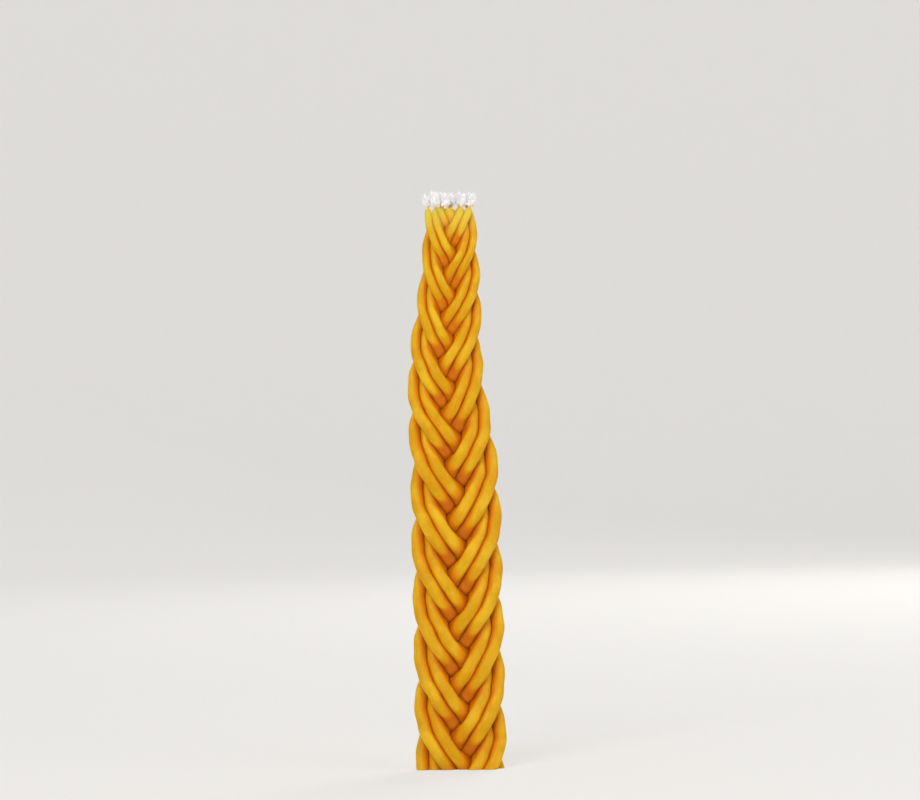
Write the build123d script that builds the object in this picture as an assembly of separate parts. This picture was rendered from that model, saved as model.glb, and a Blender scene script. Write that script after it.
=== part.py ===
from build123d import *
import os
from math import ceil, cos, exp, hypot, pi, radians, sin, sqrt, tan

# A braided beeswax candle: ten thin tapers, plaited flat in five side-by-side pairs.
# Each taper is a wax strand round its own cotton wick, which runs from the butt to above the wax.
# +Z runs up the candle from its trimmed butt, X is across its broad face, and -Y is its front.
# Sizes are in millimetres.

# The strands
WAX_LENGTH = 280.0        # from the butt to the top of the wax
STRAND_WIDTH = 6.3        # one strand, over the lower, even stretch of the candle
TOP_STRAND_WIDTH = 3.45   # the same strand at the top of the wax
TAPER_START = 153.0       # height at which the strands begin to thin
TAPER_BLEND = 18.0        # stretch over which the thinning sets in
FLATNESS = 0.82           # depth of the pressed plait over its depth with round strands
TIP_LENGTH = 5.0          # rounded tip at the top of each strand
TIP_WALL = 0.3            # wax left round the wick at the tip

# The plait
PAIRS = 5                 # pairs of strands
LAY_ANGLE = 37.2          # slope of the strands at the middle of a face, degrees from upright
PAIR_GAP = 0.3            # between the two strands of a pair
LANE_GAP = 3.5            # between neighbouring pairs at the middle of a face
CROSSING_GAP = 0.4        # least gap between strands that cross, where the candle is straight
DIVE_EASE = 0.38          # share of the second wave that steepens a pair's dive from front to back
DIVE_LEAD = 0.009         # share of a plait by which one strand of a pair dives before the other
START_TURN = 0.033        # share of a plait that is already turned at the butt
TIGHTENING = 0.6          # power of the thinning by which the plaits shorten towards the top
BOW = 3.6                 # how far the candle bows to its left
BOW_HEIGHT = 200.0        # height at which it bows the most
BOW_LENGTH = 36.0         # height from there in which the bow falls to about a third

# The wicks
WICK_WIDTH = 1.5          # one plaited cotton wick
WICK_FIT = 0.1            # between a wick and the bore of its strand, all round
WICK_FREE = 9.0           # wick that stands out of the wax
WICK_RELAX = 2.0          # stretch over which a free wick turns upright
WICK_SPREAD = 0.22        # share of its place by which a wick leans outwards at its end

# How finely the shapes are drawn
STRAND_SIDES = 18         # long faces round a strand
WICK_SIDES = 8            # long faces round a wick and its bore
SECTION_STEP = 5.0        # height from one outline of a strand to the next
RUN_STEPS = 10            # outlines from one end of a long face to the other
END_STEPS = 4             # outlines along a strand's tip, and along a free wick
TURN_STEPS = 120          # steps of the sum that gives the turns below a height
GAP_STEPS = 60            # points along a strand where its gaps are measured
GAP_REACH = 0.12          # share of a plait to each side that is searched for the nearest point
GAP_TRIES = 12            # halvings in the search for the depth of the plait
SLOPE_STEP = 0.1          # height over which a slope is measured

# What follows from the driving sizes
radius = STRAND_WIDTH / 2
lane = 2 * STRAND_WIDTH + PAIR_GAP + LANE_GAP
plait_length = PAIRS * lane / sin(radians(LAY_ANGLE))
swing = tan(radians(LAY_ANGLE)) * plait_length / (2 * pi)
bore_radius = WICK_WIDTH / 2 + WICK_FIT


def soft_run(height):
    """Length of taper below a height, with a soft start."""
    above = height - TAPER_START
    return (above + hypot(above, TAPER_BLEND)) / 2


def thinning(height):
    """Size of the plait at a height, over its size at the butt."""
    share = (soft_run(height) - soft_run(0)) / (soft_run(WAX_LENGTH) - soft_run(0))
    return 1 - (1 - TOP_STRAND_WIDTH / STRAND_WIDTH) * share


def turns(height):
    """Plaits made down from a height to the butt, which lie the other way round."""
    step = height / TURN_STEPS
    middles = [(i + 0.5) * step for i in range(TURN_STEPS)]
    return START_TURN - sum(step / plait_length / thinning(z) ** TIGHTENING for z in middles)


def bow(height):
    """Place of the plait's middle at a height, which bows to the left."""
    return -BOW * exp(-((height - BOW_HEIGHT) / BOW_LENGTH) ** 2)


def lay(turn, side, size, depth, lean=0):
    """Place of one strand on the figure-eight of the plait, before the plait is pressed flat."""
    angle = 2 * pi * turn
    slope = lean - 2 * pi * swing / plait_length * size ** (1 - TIGHTENING) * sin(angle)
    beside = side * (size * radius + PAIR_GAP / 2) * sqrt(1 + slope ** 2)
    dive = 2 * (angle + side * 2 * pi * DIVE_LEAD * sin(angle))
    x = beside - size * swing * cos(angle)
    y = -size * depth * (sin(dive) - DIVE_EASE * sin(2 * dive))
    return x, y


def crossing_gap(depth):
    """Least gap between a strand and the strands of the other pairs, at full width."""
    least = 2 * STRAND_WIDTH
    spread = [GAP_REACH * (2 * j / GAP_STEPS - 1) for j in range(GAP_STEPS + 1)]
    for i in range(GAP_STEPS):
        x, y = lay(i / GAP_STEPS, -1, 1, depth)
        for pair in range(1, PAIRS):
            for side in (-1, 1):
                for ahead in spread:
                    other_x, other_y = lay(i / GAP_STEPS + pair / PAIRS + ahead, side, 1, depth)
                    apart = sqrt((other_x - x) ** 2 + (other_y - y) ** 2 + (ahead * plait_length) ** 2)
                    least = min(least, apart - STRAND_WIDTH)
    return least


def weave_depth():
    """Least swing from front to back at which the strands that cross keep their gap."""
    shallow, deep = radius, 2 * STRAND_WIDTH
    for _ in range(GAP_TRIES):
        middle = (shallow + deep) / 2
        if crossing_gap(middle) < CROSSING_GAP:
            shallow = middle
        else:
            deep = middle
    return deep


depth = weave_depth()


def waxed_point(height, pair, side):
    """Middle of a strand at a height, before the plait is pressed flat."""
    lean = (bow(height + SLOPE_STEP / 2) - bow(height - SLOPE_STEP / 2)) / SLOPE_STEP
    x, y = lay(turns(height) + pair / PAIRS, side, thinning(height), depth, lean)
    return Vector(x + bow(height), y, height)


def point(height, pair, side):
    """The same, where a wick above the wax turns upright and leans outwards."""
    if height <= WAX_LENGTH:
        return waxed_point(height, pair, side)
    out = height - WAX_LENGTH
    top = waxed_point(WAX_LENGTH, pair, side)
    slope = (top - waxed_point(WAX_LENGTH - SLOPE_STEP, pair, side)) / SLOPE_STEP
    drift = WICK_RELAX * (1 - exp(-out / WICK_RELAX))
    lean = 1 + WICK_SPREAD * (out / WICK_FREE) ** 2
    return Vector(top.X * lean + slope.X * drift, top.Y * lean + slope.Y * drift, height)


def corners(height, pair, side, half_width, count):
    """Corners of the level outline of a strand, or of the wick or bore in it, at a height."""
    middle = point(height, pair, side)
    rise = point(height + SLOPE_STEP / 2, pair, side) - point(height - SLOPE_STEP / 2, pair, side)
    across = rise.cross(Vector(0, 1, 0)).normalized()
    through = rise.normalized().cross(across)
    level_across = (across - rise * (across.Z / rise.Z)) * half_width
    level_through = (through - rise * (through.Z / rise.Z)) * half_width
    placed = []
    for i in range(count):
        angle = 2 * pi * i / count
        spot = middle + level_across * cos(angle) + level_through * sin(angle)
        placed.append(Vector(spot.X, FLATNESS * spot.Y, height))
    return placed


def strand_radius(height):
    """Half of a strand's width at a height. The tip is rounded down to a thin wall round the wick."""
    full = radius * thinning(height)
    into_tip = max(0, height - (WAX_LENGTH - TIP_LENGTH)) / TIP_LENGTH
    return full - (full - bore_radius - TIP_WALL) * into_tip ** 2


def heights(low, high, step):
    """Even heights from low to high, no further apart than a step."""
    count = ceil((high - low) / step)
    return [low + (high - low) * i / count for i in range(count + 1)]


body_heights = heights(0, WAX_LENGTH - TIP_LENGTH, SECTION_STEP)
tip_heights = heights(WAX_LENGTH - TIP_LENGTH, WAX_LENGTH, TIP_LENGTH / END_STEPS)
free_heights = heights(WAX_LENGTH, WAX_LENGTH + WICK_FREE, WICK_FREE / END_STEPS)
strand_heights = body_heights + tip_heights[1:]
wick_heights = strand_heights + free_heights[1:]


def slopes(height, outline):
    """Slopes of the rails through an outline's corners at a height."""
    below = outline(height - SLOPE_STEP / 2)
    above = outline(height + SLOPE_STEP / 2)
    return [(high - low) / SLOPE_STEP for low, high in zip(below, above)]


def skin(levels, outline):
    """Long faces between smooth rails, which run up through an outline's corners in a few runs."""
    faces = []
    for start in range(0, len(levels) - 1, RUN_STEPS):
        run = levels[start:start + RUN_STEPS + 1]
        ends = zip(slopes(run[0], outline), slopes(run[-1], outline))
        rails = []
        for places, end_slopes in zip(zip(*map(outline, run)), ends):
            rails.append(Edge.make_spline(list(places), list(end_slopes), parameters=run, scale=False))
        faces += [Face.make_surface_from_curves(rails[i - 1], rails[i]) for i in range(len(rails))]
    return faces


def wax_strand(pair, side):
    """One wax strand, with the bore that its wick fills."""
    def outside(height):
        return corners(height, pair, side, strand_radius(height), STRAND_SIDES)

    def bore(height):
        return corners(height, pair, side, bore_radius, WICK_SIDES)

    ends = [Face(Wire.make_polygon(outside(z)), [Wire.make_polygon(bore(z))]) for z in (0, WAX_LENGTH)]
    return Solid(Shell([*skin(strand_heights, outside), *skin(strand_heights, bore), *ends]))


def wick(pair, side):
    """One cotton wick, from the butt to its free end."""
    def outside(height):
        return corners(height, pair, side, WICK_WIDTH / 2, WICK_SIDES)

    ends = [Face(Wire.make_polygon(outside(z))) for z in (0, WAX_LENGTH + WICK_FREE)]
    return Solid(Shell([*skin(wick_heights, outside), *ends]))


os.makedirs("parts", exist_ok=True)
for pair in range(PAIRS):
    for side, letter in ((-1, "a"), (1, "b")):
        export_step(wax_strand(pair, side), f"parts/wax_strand_{pair + 1}{letter}.step")
        export_step(wick(pair, side), f"parts/wick_{pair + 1}{letter}.step")
print(f"plait {plait_length:.1f} long, swing {swing:.2f}, depth {depth:.2f}, turns {turns(WAX_LENGTH):.3f}")
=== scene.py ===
from math import cos, pi, radians, sin, tan
from random import Random

import bmesh
import bpy
import numpy as np
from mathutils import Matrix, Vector


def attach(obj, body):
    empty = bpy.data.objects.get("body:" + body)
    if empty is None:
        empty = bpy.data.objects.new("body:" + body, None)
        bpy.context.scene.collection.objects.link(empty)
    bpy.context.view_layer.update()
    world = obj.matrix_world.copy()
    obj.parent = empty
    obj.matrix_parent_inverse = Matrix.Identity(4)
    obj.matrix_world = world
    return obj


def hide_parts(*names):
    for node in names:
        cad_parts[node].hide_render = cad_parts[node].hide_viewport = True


# A braided beeswax candle: ten thin tapers, plaited flat in five side-by-side pairs.
# Each taper is a wax strand round its own cotton wick, frayed to a white tuft above the wax.
# The frame is in metres, +Z runs up the candle and -Y is its front. Sizes below are in millimetres.
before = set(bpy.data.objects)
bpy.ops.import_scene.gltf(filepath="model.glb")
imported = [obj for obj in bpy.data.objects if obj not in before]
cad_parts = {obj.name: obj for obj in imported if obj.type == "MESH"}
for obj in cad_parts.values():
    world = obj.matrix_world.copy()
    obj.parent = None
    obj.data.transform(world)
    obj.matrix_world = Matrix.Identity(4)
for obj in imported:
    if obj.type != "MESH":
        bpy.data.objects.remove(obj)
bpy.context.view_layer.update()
MM = 0.001

# The strands, as in the frame
WAX_LENGTH = 280.0        # from the butt to the top of the wax
STRAND_WIDTH = 6.3        # one strand, over the lower, even stretch of the candle
TOP_STRAND_WIDTH = 3.45   # the same strand at the top of the wax
TAPER_START = 153.0       # height at which the strands begin to thin
TAPER_BLEND = 18.0        # stretch over which the thinning sets in
FLATNESS = 0.82           # depth of the pressed plait over its depth with round strands
TIP_LENGTH = 5.0          # rounded tip at the top of each strand
TIP_WALL = 0.3            # wax left round the wick at the tip

# The plait, as in the frame
PAIRS = 5                 # pairs of strands
LAY_ANGLE = 37.2          # slope of the strands at the middle of a face, degrees from upright
PAIR_GAP = 0.3            # between the two strands of a pair
LANE_GAP = 3.5            # between neighbouring pairs at the middle of a face
WEAVE_DEPTH = 5.45        # swing of a strand from the middle to the front, before pressing
DIVE_EASE = 0.38          # share of the second wave that steepens a pair's dive from front to back
DIVE_LEAD = 0.009         # share of a plait by which one strand of a pair dives before the other
START_TURN = 0.033        # share of a plait that is already turned at the butt
TIGHTENING = 0.6          # power of the thinning by which the plaits shorten towards the top
BOW = 3.6                 # how far the candle bows to its left
BOW_HEIGHT = 200.0        # height at which it bows the most
BOW_LENGTH = 36.0         # height from there in which the bow falls to about a third

# The wicks, as in the frame
WICK_WIDTH = 1.5          # one plaited cotton wick
WICK_FIT = 0.1            # between a wick and the bore of its strand, all round
WICK_FREE = 9.0           # wick that stands out of the wax
WICK_RELAX = 2.0          # stretch over which a free wick turns upright
WICK_SPREAD = 0.22        # share of its place by which a wick leans outwards at its end

# How the warm wax gave way under the braider's hands
WAVER = 0.14              # how far a strand strays from the even plait
WAVER_LENGTHS = (37.0, 19.0, 11.0)  # lengths of the waves in which it strays
THICKNESS_WAVER = 0.012   # share by which its thickness varies in the same waves
PRESS = 0.45              # gap to a neighbour that a strand closes at the surface of the plait
FILL = 4.5                # the same deep inside the plait
FILL_DEPTH = (3.5, 4.9)   # from the middle to the faces, where that is full and where it ends
FILL_WIDTH = (0.5, 0.8)   # the same to its edges, as shares of the swing
FILL_FACING = (-0.4, 0.15)  # the same for skin that turns from the inside of the plait towards its faces
CORE_DEPTH = (1.8, 3.4)   # the same from the middle to the faces, whichever way the skin turns
CLOSE_FADE = (0.6, 1.4)   # shares of those gaps, between which the closing fades out
LEAST_FACING = 0.05       # cosine below which skin counts as turned away from a neighbour
CONTACT_GAP = 0.03        # left between strands that are pressed together
CONTACT_ROUNDING = 2      # rounds of smoothing along the edges of a pressed patch
TIP_FULLNESS = 4          # power by which a tip rounds off, fuller than in the frame
DENT_SIZE = 14.0          # from one soft finger dent to the next
DENT_DEPTH = 0.1          # depth of those dents
SIDE_SHADE = 0.7          # light that a strand keeps from skin that touches it
PIT_SHADE = 0.78          # light that is lost at the bottom of the pits of the plait, less where it is thin
PIT_DEPTH = (2.8, 6.0)    # from the middle to the faces, where that is full and where it ends
PIT_WIDTH = (0.55, 0.85)  # the same to its edges, as shares of the swing
EARLY_DIVE = 0.012        # share of a plait by which the lower strand of a pair sinks early
TOP_EARLY_DIVE = 0.028    # the same at the top of the wax, where the plait is looser

# How finely the shapes are drawn
RING_STEP = 0.8           # height from one ring of a strand to the next
STRAND_SIDES = 28
BORE_SIDES = 10
BORE_STEP = 4             # rings of a strand for one ring of its bore
OVERHANG = 8.0            # drawn below the butt, then cut off
LINE_STEP = 0.25          # height between the places kept on a strand's middle line
LINE_REACH = 26           # places to each side that are searched for the nearest one
SMOOTH_ANGLE = 50.0       # degrees up to which two faces shade as one

radius = STRAND_WIDTH / 2
lane = 2 * STRAND_WIDTH + PAIR_GAP + LANE_GAP
plait_length = PAIRS * lane / sin(radians(LAY_ANGLE))
swing = tan(radians(LAY_ANGLE)) * plait_length / (2 * pi)
bore_radius = WICK_WIDTH / 2 + WICK_FIT
STRANDS = [(pair, side) for pair in range(PAIRS) for side in (-1, 1)]


def label(strand):
    """Number and letter of a strand, as in the frame's names."""
    pair, side = strand
    return f"{pair + 1}{'a' if side < 0 else 'b'}"


# The plait's own formula

def soft_run(height):
    """Length of taper below a height, with a soft start."""
    above = height - TAPER_START
    return (above + np.hypot(above, TAPER_BLEND)) / 2


def thinning(height):
    """Size of the plait at a height, over its size at the butt."""
    share = (soft_run(height) - soft_run(0)) / (soft_run(WAX_LENGTH) - soft_run(0))
    return 1 - (1 - TOP_STRAND_WIDTH / STRAND_WIDTH) * share


line_heights = np.arange(-2 * OVERHANG, WAX_LENGTH + OVERHANG, LINE_STEP)
turning = np.cumsum(LINE_STEP / plait_length / thinning(line_heights + LINE_STEP / 2) ** TIGHTENING)


def turns(height):
    """Plaits made down from a height to the butt, which lie the other way round."""
    made = np.interp(np.append(height, 0), line_heights + LINE_STEP, turning)
    return START_TURN - (made[:-1] - made[-1])


def bow(height):
    """Place of the plait's middle at some heights, which bows to the left."""
    return -BOW * np.exp(-((height - BOW_HEIGHT) / BOW_LENGTH) ** 2)


def waver(strand, height, axis):
    """How far a strand strays at some heights on one axis. A pair's strands stray together on the first."""
    luck = Random(f"{strand[0]} {strand[1] if axis else 0} {axis}")
    waves = [np.sin(2 * pi * (height / length + luck.random())) for length in WAVER_LENGTHS]
    return sum(waves)


def waxed_places(strand, height):
    """Middle of a strand at some heights, before the plait is pressed flat."""
    pair, side = strand
    size = thinning(height)
    angle = 2 * pi * (turns(height) + pair / PAIRS)
    lean = (bow(height + LINE_STEP) - bow(height - LINE_STEP)) / (2 * LINE_STEP)
    slope = lean - 2 * pi * swing / plait_length * size ** (1 - TIGHTENING) * np.sin(angle)
    beside = side * (size * radius + PAIR_GAP / 2) * np.sqrt(1 + slope ** 2)
    thinned = (1 - size) / (1 - TOP_STRAND_WIDTH / STRAND_WIDTH)
    early = EARLY_DIVE + (TOP_EARLY_DIVE - EARLY_DIVE) * thinned
    lead = side * DIVE_LEAD * np.sin(angle) + early * np.maximum(-side * np.sin(angle), 0)
    dive = 2 * (angle + 2 * pi * lead)
    x = bow(height) + beside - size * swing * np.cos(angle)
    y = -size * WEAVE_DEPTH * (np.sin(dive) - DIVE_EASE * np.sin(2 * dive))
    x = x + size * WAVER * waver(strand, height, 0)
    y = y + size * WAVER * waver(strand, height, 1)
    return np.stack([x, y, height], axis=1)


def places(strand, height):
    """The same, where a wick above the wax turns upright and leans outwards."""
    made = waxed_places(strand, np.minimum(height, WAX_LENGTH))
    below, top = waxed_places(strand, np.array([WAX_LENGTH - LINE_STEP, WAX_LENGTH]))
    slope = (top - below) / LINE_STEP
    out = np.maximum(height - WAX_LENGTH, 0)[:, None]
    drift = WICK_RELAX * (1 - np.exp(-out / WICK_RELAX))
    lean = 1 + WICK_SPREAD * (out / WICK_FREE) ** 2
    made[:, :2] = np.where(out > 0, top[:2] * lean + slope[:2] * drift, made[:, :2])
    made[:, 2] = height
    return made


def strand_radii(strand, height):
    """Half of a strand's width at some heights. The tip is rounded down to a thin wall."""
    full = radius * thinning(height) * (1 + THICKNESS_WAVER * waver(strand, height, 2))
    into_tip = np.maximum(0, height - (WAX_LENGTH - TIP_LENGTH)) / TIP_LENGTH
    return full - (full - bore_radius - TIP_WALL) * into_tip ** TIP_FULLNESS


middle_lines = {strand: waxed_places(strand, line_heights) for strand in STRANDS}
line_radii = {strand: strand_radii(strand, np.minimum(line_heights, WAX_LENGTH)) for strand in STRANDS}


# Modelling

def edit_all(operator, **settings):
    """Runs one edit-mode operator on the whole mesh of the active piece."""
    bpy.ops.object.mode_set(mode="EDIT")
    bpy.ops.mesh.select_all(action="SELECT")
    operator(**settings)
    bpy.ops.object.mode_set(mode="OBJECT")


def draw_tubes(name, runs, sides, capped=False):
    """One mesh of round tubes, each drawn as a bevelled path through its places with its radii."""
    bpy.ops.object.select_all(action="DESELECT")
    bpy.ops.curve.primitive_nurbs_path_add()
    path = bpy.context.object
    path.name = name
    path.data.splines.clear()
    path.data.bevel_depth = MM
    path.data.bevel_resolution = sides // 2 - 2
    path.data.use_fill_caps = capped
    for run_places, run_radii in runs:
        spline = path.data.splines.new("POLY")
        spline.points.add(len(run_places) - 1)
        corners = np.column_stack([run_places * MM, np.ones(len(run_places))])
        spline.points.foreach_set("co", corners.astype(np.float32).ravel())
        spline.points.foreach_set("radius", np.asarray(run_radii, np.float32))
    bpy.ops.object.convert(target="MESH")
    if capped:
        edit_all(bpy.ops.mesh.remove_doubles, threshold=0.001 * MM)
    return bpy.context.object


def mesh_places(piece):
    """Places of a mesh's vertices, in millimetres."""
    held = np.empty(3 * len(piece.data.vertices), np.float32)
    piece.data.vertices.foreach_get("co", held)
    return held.reshape(-1, 3).astype(float) / MM


def move_vertices(piece, new_places):
    """Moves a mesh's vertices to places in millimetres."""
    piece.data.vertices.foreach_set("co", (new_places * MM).astype(np.float32).ravel())
    piece.data.update()


def keep_on_vertices(piece, name, kind, values):
    """Keeps a number or a place per vertex, for the material to read."""
    attribute = piece.data.attributes.new(name, kind, "POINT")
    field = "vector" if kind == "FLOAT_VECTOR" else "value"
    attribute.data.foreach_set(field, np.asarray(values, np.float32).ravel())


def apply_modifier(piece, kind, **settings):
    """Adds one modifier to a piece and applies it."""
    modifier = piece.modifiers.new(kind.lower(), kind)
    for name, value in settings.items():
        setattr(modifier, name, value)
    bpy.context.view_layer.objects.active = piece
    bpy.ops.object.modifier_apply(modifier=modifier.name)


def join(first, *others):
    """Joins pieces into the first."""
    bpy.ops.object.select_all(action="DESELECT")
    for piece in (first, *others):
        piece.select_set(True)
    bpy.context.view_layer.objects.active = first
    bpy.ops.object.join()
    return first


def trim_butt(piece, filled):
    """Presses a piece flat with the plait, cuts it off level at the butt, and closes all its ends."""
    bpy.ops.object.select_all(action="DESELECT")
    bpy.context.view_layer.objects.active = piece
    bpy.ops.object.mode_set(mode="EDIT")
    bpy.ops.mesh.select_all(action="SELECT")
    bpy.ops.transform.resize(value=(1, FLATNESS, 1), center_override=(0, 0, 0))
    bpy.ops.mesh.bisect(plane_co=(0, 0, 0), plane_no=(0, 0, 1), use_fill=filled,
                        clear_inner=True, threshold=1e-6)
    if not filled:
        bpy.ops.mesh.bridge_edge_loops()
        bpy.ops.mesh.select_all(action="DESELECT")
        bpy.ops.mesh.select_mode(type="EDGE")
        bpy.ops.mesh.select_non_manifold(extend=False)
        bpy.ops.mesh.bridge_edge_loops()
        bpy.ops.mesh.select_all(action="SELECT")
        bpy.ops.mesh.normals_make_consistent(inside=False)
        if bmesh.from_edit_mesh(piece.data).calc_volume(signed=True) < 0:
            bpy.ops.mesh.flip_normals()
    bpy.ops.object.mode_set(mode="OBJECT")


def finish_piece(piece, material, node):
    """Smooths a piece, gives it its finish, and lets it stand for its node in the frame."""
    bpy.ops.object.select_all(action="DESELECT")
    piece.select_set(True)
    bpy.context.view_layer.objects.active = piece
    bpy.ops.object.shade_smooth_by_angle(angle=radians(SMOOTH_ANGLE))
    piece.data.materials.clear()
    piece.data.materials.append(material)
    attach(piece, "root")
    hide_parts(node)


# The wax strands

def nearest_on(strand, spots):
    """Nearest place on a strand's middle line to each spot, and the strand's radius there."""
    at = np.rint((spots[:, 2] - line_heights[0]) / LINE_STEP).astype(int)
    at = np.clip(at, LINE_REACH, len(line_heights) - LINE_REACH - 1)
    window = at[:, None] + np.arange(-LINE_REACH, LINE_REACH + 1)
    apart = np.linalg.norm(middle_lines[strand][window] - spots[:, None], axis=2)
    nearest = window[np.arange(len(spots)), apart.argmin(axis=1)]
    return middle_lines[strand][nearest], line_radii[strand][nearest]


def soft_step(values, low, high):
    """0 below low, 1 above high, and an even curve between."""
    share = np.clip((values - low) / (high - low), 0, 1)
    return share * share * (3 - 2 * share)


def press_together(strand, spots):
    """Fills a strand out until it meets its neighbours, flat against them."""
    middles, own_radii = nearest_on(strand, spots)
    outward = spots - middles
    reach = np.linalg.norm(outward, axis=1)
    outward /= reach[:, None]
    size = thinning(spots[:, 2])
    most = np.full(len(spots), np.inf)
    for other in STRANDS:
        if other == strand:
            continue
        there, there_radii = nearest_on(other, spots)
        apart = there - middles
        distance = np.linalg.norm(apart, axis=1)
        facing = np.einsum("ij,ij->i", outward, apart) / distance
        limit = distance * own_radii / (own_radii + there_radii) - CONTACT_GAP / 2
        nearer = np.minimum(most, limit / np.maximum(facing, LEAST_FACING))
        most = np.where(facing > LEAST_FACING, nearer, most)
    from_middle = np.abs(spots[:, 1]) / size
    inside = 1 - soft_step(from_middle, *FILL_DEPTH)
    inside *= 1 - soft_step(outward[:, 1] * np.sign(spots[:, 1]), *FILL_FACING)
    inside = np.maximum(inside, 1 - soft_step(from_middle, *CORE_DEPTH))
    inside *= 1 - soft_step(np.abs(spots[:, 0] - bow(spots[:, 2])) / (swing * size), *FILL_WIDTH)
    closes = PRESS + (FILL * size - PRESS) * inside
    length = np.minimum(reach, most)
    gap = np.minimum(most - length, 2 * FILL)
    length += gap * (1 - soft_step(gap, CLOSE_FADE[0] * closes, CLOSE_FADE[1] * closes))
    rows = length.reshape(-1, STRAND_SIDES)
    for _ in range(CONTACT_ROUNDING):
        along = np.pad(rows, ((1, 1), (0, 0)), mode="edge")
        around = np.roll(rows, 1, axis=1) + np.roll(rows, -1, axis=1)
        rows = (2 * rows + along[:-2] + along[2:] + around) / 6
    return middles + outward * rows.reshape(-1, 1)


def covered(strand, spots):
    """Share of the light that other strands and the depth of the pits keep from each spot of a skin."""
    middles, _ = nearest_on(strand, spots)
    outward = (spots - middles) / np.linalg.norm(spots - middles, axis=1)[:, None]
    lit = np.ones(len(spots))
    for other in STRANDS:
        if other == strand:
            continue
        there, there_radii = nearest_on(other, spots)
        distance = np.linalg.norm(there - spots, axis=1)
        facing = np.einsum("ij,ij->i", outward, there - spots) / distance
        lit *= 1 - SIDE_SHADE * np.clip(facing, 0, 1) * np.minimum(there_radii / distance, 1)
    size = thinning(spots[:, 2])
    deep = 1 - soft_step(np.abs(spots[:, 1]) / size, *PIT_DEPTH)
    deep *= 1 - soft_step(np.abs(spots[:, 0] - bow(spots[:, 2])) / (swing * size), *PIT_WIDTH)
    return 1 - lit * (1 - PIT_SHADE * size * deep)


def wax_strand(strand):
    """One strand: a bevelled path, pressed against its neighbours, dented, bored and trimmed."""
    heights = np.arange(-OVERHANG, WAX_LENGTH + RING_STEP / 2, RING_STEP)
    middles = waxed_places(strand, heights)
    radii = strand_radii(strand, heights)
    skin = draw_tubes(f"braided_wax_{label(strand)}", [(middles, radii)], STRAND_SIDES)
    dents = bpy.data.textures.new("finger_dents", "CLOUDS")
    dents.noise_scale = DENT_SIZE * MM
    apply_modifier(skin, "DISPLACE", texture=dents, strength=2 * DENT_DEPTH * MM, mid_level=0.5)
    pressed = press_together(strand, mesh_places(skin))
    move_vertices(skin, pressed)
    # Painted shade: how much light other strands and the pits keep from each spot, by which the material
    # darkens and reddens the wax
    keep_on_vertices(skin, "covered", "FLOAT", covered(strand, pressed))

    # The same place on the strand while it was still straight, so that patterns follow the strand
    steps = np.linalg.norm(np.diff(middles, axis=0, prepend=middles[:1]), axis=1)
    along = np.repeat(np.cumsum(steps), STRAND_SIDES) + WAX_LENGTH * 2 * STRANDS.index(strand)
    turned = np.tile(np.arange(STRAND_SIDES) * 2 * pi / STRAND_SIDES, len(heights))
    width = np.repeat(radii, STRAND_SIDES)
    straight = np.stack([width * np.cos(turned), width * np.sin(turned), along], axis=1)
    keep_on_vertices(skin, "straight", "FLOAT_VECTOR", straight * MM)

    bore_places = waxed_places(strand, heights[::BORE_STEP])
    bore = draw_tubes("bore", [(bore_places, np.full(len(bore_places), bore_radius))], BORE_SIDES)
    edit_all(bpy.ops.mesh.flip_normals)
    join(skin, bore)
    trim_butt(skin, filled=False)
    finish_piece(skin, beeswax, f"wax_strand_{label(strand)}")


# The wicks
PLIES = 3                 # yarns twisted into a wick
PLY_WIDTH = 0.8
PLY_PITCH = 4.0           # height of one full twist
PLY_STEP = 0.4            # height from one ring of a ply to the next
PLY_SIDES = 8
PLY_START = 4.0           # how far below the top of the wax the plies are drawn
PLY_OVERLAP = 1.0         # how far they run beside the plain wick below and into the tuft above
FRAY_START = 1.1          # height above the wax where a wick comes undone
TUFT_WIDTH = 5.2
LOCKS = 12                # soft locks that a frayed wick falls into
LOCK_WIDTH = 1.9
LOCK_TURN = 0.382         # share of a turn from one lock to the next
LOCK_STRAY = 0.2          # share of a turn by which a lock strays from that
LOCK_LOSS = 0.15          # share by which the outermost locks are shorter
LOCK_RISES = (0.85, 1.0)  # shares of its full length, overhang and bulge that a lock may get
LOCK_HANGS = (0.4, 1.0)
LOCK_BULGES = (0.6, 1.0)
LOCK_STEPS = 14           # rings of a lock
LOCK_SIDES = 12
FLOCK_SIZE = 0.9          # from one lump of a lock to the next
FLOCK_DEPTH = 0.35
FIBRES = 70               # loose fibres round the locks
FIBRE_WIDTH = 0.2
FIBRE_STEPS = 7
FIBRE_SIDES = 4
FIBRE_LOSS = 0.3          # share by which the outermost fibres are shorter
FIBRE_RISES = (0.75, 1.0)  # shares of its full length that a fibre may get
FIBRE_CURL = 1.2          # how far a fibre curls round the tuft at most, radians
FIBRE_STRAY = 0.2         # how far a fibre strays at each step
# How far each tuft rises above the wax, and how far its outermost locks hang over at most
TUFTS = {"1a": (10.0, 5.0), "1b": (8.8, 6.0), "2a": (8.0, 4.0), "2b": (9.9, 5.0), "3a": (10.0, 5.5),
         "3b": (8.4, 7.0), "4a": (9.2, 5.5), "4b": (9.2, 7.0), "5a": (8.2, 6.0), "5b": (8.6, 7.5)}


def plies(strand, top):
    """The twisted yarns of a wick, from inside the wax to where they come undone."""
    heights = np.arange(WAX_LENGTH - PLY_START, WAX_LENGTH + top, PLY_STEP)
    middles = places(strand, heights)
    offset = (WICK_WIDTH - PLY_WIDTH) / 2
    runs = []
    for ply in range(PLIES):
        angle = 2 * pi * (ply / PLIES + heights / PLY_PITCH)
        twisted = middles.copy()
        twisted[:, 0] += offset * np.cos(angle)
        twisted[:, 1] += offset * np.sin(angle)
        runs.append((twisted, np.full(len(heights), PLY_WIDTH / 2)))
    return runs


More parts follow.
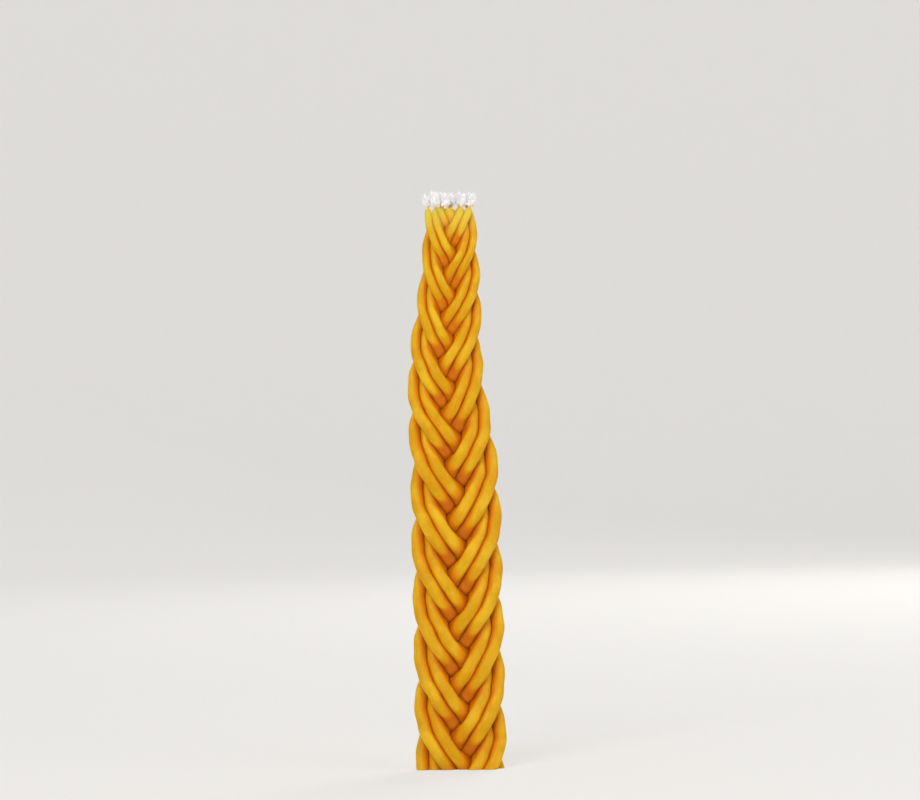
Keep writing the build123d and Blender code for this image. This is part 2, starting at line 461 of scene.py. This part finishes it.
def locks(strand, top, overhang):
    """The soft locks of a tuft: they fan out of the wick and bulge, and the outer ones hang over."""
    luck = Random(200 + STRANDS.index(strand))
    share = np.linspace(0, 1, LOCK_STEPS)
    runs = []
    for lock in range(LOCKS):
        turn = 2 * pi * (LOCK_TURN * lock + luck.uniform(0, LOCK_STRAY))
        spread = (lock / (LOCKS - 1)) ** 0.5
        rise = (top - FRAY_START) * (1 - LOCK_LOSS * spread) * luck.uniform(*LOCK_RISES)
        hang = overhang * spread ** 2 * luck.uniform(*LOCK_HANGS)
        out = spread * (TUFT_WIDTH - LOCK_WIDTH) / 2 * soft_step(share, 0, 0.7)
        middles = places(strand, WAX_LENGTH + FRAY_START + rise * share)
        middles[:, 0] += out * np.cos(turn)
        middles[:, 1] += out * np.sin(turn) / FLATNESS
        middles[:, 2] -= hang * share ** 2
        fullest = luck.uniform(*LOCK_BULGES) * (LOCK_WIDTH - PLY_WIDTH) / 2
        bulge = PLY_WIDTH / 2 + fullest * soft_step(share, 0, 0.5)
        runs.append((middles, bulge * np.sqrt(np.maximum(1 - share ** 4, 0.02))))
    return runs


def fibres(strand, top):
    """The loose fibres of a tuft, which fan out like a brush and curl."""
    luck = Random(100 + STRANDS.index(strand))
    share = np.linspace(0, 1, FIBRE_STEPS)
    runs = []
    for _ in range(FIBRES):
        turn = luck.uniform(0, 2 * pi)
        spread = luck.random() ** 0.5
        start = luck.uniform(0.0, 1.0) * FRAY_START
        end = start + (top - start) * (1 - FIBRE_LOSS * spread ** 3) * luck.uniform(*FIBRE_RISES)
        curl = luck.uniform(-FIBRE_CURL, FIBRE_CURL)
        out = spread * (WICK_WIDTH / 2 + (TUFT_WIDTH - WICK_WIDTH) / 2 * soft_step(share, 0, 0.8))
        stray = np.array([[luck.gauss(0, FIBRE_STRAY) for _ in share] for _ in "xy"]) * share
        middles = places(strand, WAX_LENGTH + start + (end - start) * share)
        middles[:, 0] += out * np.cos(turn + curl * share) + stray[0]
        middles[:, 1] += (out * np.sin(turn + curl * share) + stray[1]) / FLATNESS
        runs.append((middles, FIBRE_WIDTH / 2 * (1 - 0.5 * share ** 3)))
    return runs


def cotton_wick_piece(strand):
    """One wick: its run through the wax, the twisted plies above it, and the frayed tuft."""
    name = label(strand)
    top, overhang = TUFTS[name]
    heights = np.arange(-OVERHANG, WAX_LENGTH - PLY_START + PLY_OVERLAP, BORE_STEP * RING_STEP)
    run = (places(strand, heights), np.full(len(heights), WICK_WIDTH / 2))
    core = draw_tubes(f"cotton_wick_{name}", [run], BORE_SIDES, capped=True)
    yarn = draw_tubes("yarn", plies(strand, FRAY_START + PLY_OVERLAP), PLY_SIDES, capped=True)
    fluff = draw_tubes("fluff", locks(strand, top, overhang), LOCK_SIDES, capped=True)
    flock = bpy.data.textures.new("flock", "CLOUDS")
    flock.noise_scale = FLOCK_SIZE * MM
    apply_modifier(fluff, "DISPLACE", texture=flock, strength=2 * FLOCK_DEPTH * MM, mid_level=0.5)
    fuzz = draw_tubes("fuzz", fibres(strand, top), FIBRE_SIDES, capped=True)
    join(core, yarn, fluff, fuzz)
    trim_butt(core, filled=True)
    finish_piece(core, cotton, f"wick_{name}")


# Finishes

def linear(code, alpha=1.0):
    """An sRGB hex colour as linear light."""
    levels = [int(code[i:i + 2], 16) / 255 for i in (1, 3, 5)]
    return [v / 12.92 if v <= 0.04045 else ((v + 0.055) / 1.055) ** 2.4 for v in levels] + [alpha]


def add_node(tree, kind, values=None, links=None, **settings):
    """Adds one node: settings are its own properties, values and links go to its sockets."""
    made = tree.nodes.new(kind)
    for name, value in settings.items():
        setattr(made, name, value)
    for socket, value in (values or {}).items():
        made.inputs[socket].default_value = value
    for socket, source in (links or {}).items():
        tree.links.new(source, made.inputs[socket])
    return made


def new_material(name):
    """An empty node material and its Principled shader."""
    material = bpy.data.materials.new(name)
    material.use_nodes = True
    return material, material.node_tree, material.node_tree.nodes["Principled BSDF"]


# Painted shade in the wax's colour, from its flanks to the grooves and pits of the plait, and how far its
# light is covered there
PAINTED_GROOVE_SHADE = (("#E09C0A", 0.02, 0.25), ("#D98406", 0.2, 0.5),
                 ("#CC7208", 0.48, 0.78), ("#A45206", 0.76, 1.0))
BLOOM_SIZE = 13.0         # from one cloudy patch of bloom to the next
LINE_WIDTH = 0.9          # from one drawing line to the next
LINE_STRETCH = 0.06       # width of a drawing line over its length
GRAIN_SIZE = 1.4          # from one small dent of the skin to the next
RELIEF = 0.08             # depth of the lines and dents
GLOW_DEPTH = 2.2          # how far light runs in the wax
# The paler tip is thin wax over the white wick, and partly painted glow of light through that thin wax
THIN_TIP = 16.0           # length of a strand's paler tip


def make_beeswax():
    """Filtered beeswax, drawn into thin tapers and braided while warm.

    The wax is see-through for a few millimetres, so thin edges glow orange. Its skin is smooth
    and satin, with cloudy patches of bloom, faint lines from the drawing and small finger dents.
    At the tips it is only a thin coat on the white wick, and paler, partly with painted glow.
    """
    material, tree, shader = new_material("beeswax")
    straight = add_node(tree, "ShaderNodeAttribute", attribute_name="straight")
    painted_shade_share = add_node(tree, "ShaderNodeAttribute", attribute_name="covered")
    clouds = add_node(tree, "ShaderNodeTexNoise",
                      {"Scale": 1000 / BLOOM_SIZE, "Detail": 3.0, "Roughness": 0.55},
                      {"Vector": straight.outputs["Vector"]})
    stretched = add_node(tree, "ShaderNodeMapping", {"Scale": (1.0, 1.0, LINE_STRETCH)},
                         {"Vector": straight.outputs["Vector"]})
    lines = add_node(tree, "ShaderNodeTexNoise", {"Scale": 1000 / LINE_WIDTH, "Detail": 2.0},
                     {"Vector": stretched.outputs["Vector"]})
    grain = add_node(tree, "ShaderNodeTexNoise",
                     {"Scale": 1000 / GRAIN_SIZE, "Detail": 4.0, "Roughness": 0.6},
                     {"Vector": straight.outputs["Vector"]})

    honey = add_node(tree, "ShaderNodeMapRange", {"From Min": 0.35, "From Max": 0.68},
                     {"Value": clouds.outputs["Fac"]}, interpolation_type="SMOOTHSTEP")
    body = add_node(tree, "ShaderNodeMix", {6: linear("#D9A306"), 7: linear("#E8BD24")},
                    {0: honey.outputs["Result"]}, data_type="RGBA")
    streak = add_node(tree, "ShaderNodeMapRange", {"From Min": 0.55, "From Max": 0.8, "To Max": 0.3},
                      {"Value": lines.outputs["Fac"]})
    colour = add_node(tree, "ShaderNodeMix", {7: linear("#D08A0C")},
                      {0: streak.outputs["Result"], 6: body.outputs[2]}, data_type="RGBA")
    # Painted shade: the wax is darkened and reddened step by step as more of its light is covered
    for shade, first, last in PAINTED_GROOVE_SHADE:
        share = add_node(tree, "ShaderNodeMapRange", {"From Min": first, "From Max": last},
                         {"Value": painted_shade_share.outputs["Fac"]}, interpolation_type="SMOOTHSTEP")
        colour = add_node(tree, "ShaderNodeMix", {7: linear(shade)},
                          {0: share.outputs["Result"], 6: colour.outputs[2]}, data_type="RGBA")
    place = add_node(tree, "ShaderNodeTexCoord")
    height = add_node(tree, "ShaderNodeSeparateXYZ", links={0: place.outputs["Object"]})
    # Paler tip: partly the white wick showing through thin wax, partly painted glow
    thin = add_node(tree, "ShaderNodeMapRange",
                    {"From Min": (WAX_LENGTH - THIN_TIP) * MM, "From Max": WAX_LENGTH * MM, "To Max": 0.8},
                    {"Value": height.outputs["Z"]}, interpolation_type="SMOOTHSTEP")
    colour = add_node(tree, "ShaderNodeMix", {7: linear("#F0CE4E")},
                      {0: thin.outputs["Result"], 6: colour.outputs[2]}, data_type="RGBA")
    sheen = add_node(tree, "ShaderNodeMapRange",
                     {"From Min": 0.3, "From Max": 0.7, "To Min": 0.42, "To Max": 0.56},
                     {"Value": clouds.outputs["Fac"]})
    relief = add_node(tree, "ShaderNodeMath", {1: 0.5}, {0: lines.outputs["Fac"], 2: grain.outputs["Fac"]},
                      operation="MULTIPLY_ADD")
    bump = add_node(tree, "ShaderNodeBump", {"Strength": 0.25, "Distance": RELIEF * MM},
                    {"Height": relief.outputs["Value"]})

    tree.links.new(colour.outputs[2], shader.inputs["Base Color"])
    tree.links.new(sheen.outputs["Result"], shader.inputs["Roughness"])
    tree.links.new(bump.outputs["Normal"], shader.inputs["Normal"])
    shader.inputs["IOR"].default_value = 1.44
    shader.inputs["Specular IOR Level"].default_value = 0.18
    shader.inputs["Subsurface Weight"].default_value = 0.85
    shader.inputs["Subsurface Radius"].default_value = (1.0, 0.4, 0.1)
    shader.inputs["Subsurface Scale"].default_value = GLOW_DEPTH * MM
    return material


FLECK_SIZE = 1.1          # from one fleck of the cotton to the next
SOAKED = (1.8, 3.6)       # height above the wax where the cotton is yellow, and where it is white
SOAKED_EDGE = 2.4         # how far that edge wanders with the flecks


def make_cotton():
    """Bleached cotton yarn, matt and fluffy, and yellow where the wax has soaked up into it."""
    material, tree, shader = new_material("cotton_wick_yarn")
    place = add_node(tree, "ShaderNodeTexCoord")
    height = add_node(tree, "ShaderNodeSeparateXYZ", links={0: place.outputs["Object"]})
    fleck = add_node(tree, "ShaderNodeTexNoise", {"Scale": 1000 / FLECK_SIZE, "Detail": 3.0},
                     {"Vector": place.outputs["Object"]})
    ragged = add_node(tree, "ShaderNodeMath", {1: SOAKED_EDGE * MM},
                      {0: fleck.outputs["Fac"], 2: height.outputs["Z"]}, operation="MULTIPLY_ADD")
    dry = add_node(tree, "ShaderNodeMapRange",
                   {"From Min": (WAX_LENGTH + SOAKED[0]) * MM, "From Max": (WAX_LENGTH + SOAKED[1]) * MM},
                   {"Value": ragged.outputs["Value"]}, interpolation_type="SMOOTHSTEP")
    white = add_node(tree, "ShaderNodeMix", {6: linear("#F8F5F8"), 7: linear("#FFFFFF")},
                     {0: fleck.outputs["Fac"]}, data_type="RGBA")
    colour = add_node(tree, "ShaderNodeMix", {6: linear("#EDD07A")},
                      {0: dry.outputs["Result"], 7: white.outputs[2]}, data_type="RGBA")
    tree.links.new(colour.outputs[2], shader.inputs["Base Color"])
    shader.inputs["Roughness"].default_value = 0.85
    shader.inputs["Specular IOR Level"].default_value = 0.2
    shader.inputs["Sheen Weight"].default_value = 0.5
    return material


PAPER_LIFT = 0.6          # share of plain white in what is seen of the paper


def make_paper():
    """Matt white paper for the floor. To the eye it is lifted towards white, but it keeps its shadows."""
    material, tree, shader = new_material("studio_paper")
    shader.inputs["Base Color"].default_value = linear("#ECE9E4")
    shader.inputs["Roughness"].default_value = 0.9
    shader.inputs["Specular IOR Level"].default_value = 0.2
    light = add_node(tree, "ShaderNodeLightPath")
    mirrored = add_node(tree, "ShaderNodeMath", operation="MAXIMUM",
                        links={0: light.outputs["Is Glossy Ray"], 1: light.outputs["Is Transmission Ray"]})
    seen = add_node(tree, "ShaderNodeMath", operation="MAXIMUM",
                    links={0: light.outputs["Is Camera Ray"], 1: mirrored.outputs["Value"]})
    lifted = add_node(tree, "ShaderNodeMath", {1: PAPER_LIFT}, {0: seen.outputs["Value"]},
                      operation="MULTIPLY")
    white = add_node(tree, "ShaderNodeEmission", {"Color": linear("#F7F5F2"), "Strength": 1.0})
    mixed = add_node(tree, "ShaderNodeMixShader",
                     links={0: lifted.outputs["Value"], 1: shader.outputs["BSDF"],
                            2: white.outputs["Emission"]})
    tree.links.new(mixed.outputs["Shader"], tree.nodes["Material Output"].inputs["Surface"])
    return material


beeswax = make_beeswax()
cotton = make_cotton()
for strand in STRANDS:
    wax_strand(strand)
    cotton_wick_piece(strand)


# The studio
FLOOR_RADIUS = 3.4        # metres
WALL_HEIGHT = 2.4         # metres
WALL_BEND = 1.1           # metres
WALL_SIDES = 96


def studio_floor():
    """A round sheet of paper on the floor, which curves up into a low wall all round."""
    bpy.ops.object.select_all(action="DESELECT")
    bpy.ops.mesh.primitive_cylinder_add(vertices=WALL_SIDES, radius=FLOOR_RADIUS, depth=WALL_HEIGHT,
                                        location=(0, 0, WALL_HEIGHT / 2))
    floor = bpy.context.object
    floor.name = "studio_floor"
    bpy.ops.object.transform_apply()
    bpy.ops.object.mode_set(mode="EDIT")
    bpy.ops.mesh.select_mode(type="FACE")
    bpy.ops.mesh.select_all(action="DESELECT")
    bpy.ops.object.mode_set(mode="OBJECT")
    for face in floor.data.polygons:
        face.select = face.normal.z > 0.5
    bpy.ops.object.mode_set(mode="EDIT")
    bpy.ops.mesh.delete(type="FACE")
    bpy.ops.mesh.select_mode(type="EDGE")
    bpy.ops.object.mode_set(mode="OBJECT")
    for edge in floor.data.edges:
        edge.select = all(floor.data.vertices[i].co.z < MM for i in edge.vertices)
    bpy.ops.object.mode_set(mode="EDIT")
    bpy.ops.mesh.bevel(offset=WALL_BEND, segments=24, affect="EDGES")
    bpy.ops.mesh.select_all(action="SELECT")
    bpy.ops.mesh.normals_make_consistent(inside=True)
    bpy.ops.object.mode_set(mode="OBJECT")
    bpy.ops.object.shade_smooth()
    floor.data.materials.clear()
    floor.data.materials.append(make_paper())


def soft_box(name, place, target, size, watts):
    """One large soft lamp that faces a target."""
    bpy.ops.object.light_add(type="AREA", location=place)
    lamp = bpy.context.object
    lamp.name = name
    lamp.data.size = size
    lamp.data.energy = watts
    lamp.rotation_euler = (Vector(target) - Vector(place)).to_track_quat("-Z", "Y").to_euler()


studio_floor()
middle = (0, 0, WAX_LENGTH / 2 * MM)
soft_box("key_lamp", (-0.6, -1.7, 1.1), middle, 0.8, 20)
soft_box("fill_lamp", (1.3, -1.1, 0.7), middle, 1.2, 7)
soft_box("back_lamp", (0.9, 1.8, 1.0), middle, 1.2, 20)
world = bpy.data.worlds.new("studio_air")
bpy.context.scene.world = world
world.use_nodes = True
world.node_tree.nodes["Background"].inputs["Color"].default_value = linear("#F4F6FA")
world.node_tree.nodes["Background"].inputs["Strength"].default_value = 0.42

# The camera, level in front of the candle. The picture is taken to be 920 by 800 pixels.
PICTURE_WIDTH = 920
PIXEL = 0.5               # millimetres that one pixel covers at the candle
CAMERA_AWAY = 2000.0
AIM_HEIGHT = 184.5        # height on the candle at the middle of the picture
AIM_RIGHT = 3.1           # the candle stands this far left of the middle
LEAN = 1.19               # degrees by which the candle leans to the left in the picture
SENSOR = 36.0

bpy.ops.object.camera_add(location=(AIM_RIGHT * MM, -CAMERA_AWAY * MM, AIM_HEIGHT * MM),
                          rotation=(pi / 2, radians(LEAN), 0))
camera = bpy.context.object
camera.data.sensor_width = SENSOR
camera.data.lens = SENSOR * CAMERA_AWAY / (PICTURE_WIDTH * PIXEL)
bpy.context.scene.camera = camera
bpy.context.scene.view_settings.view_transform = "Standard"
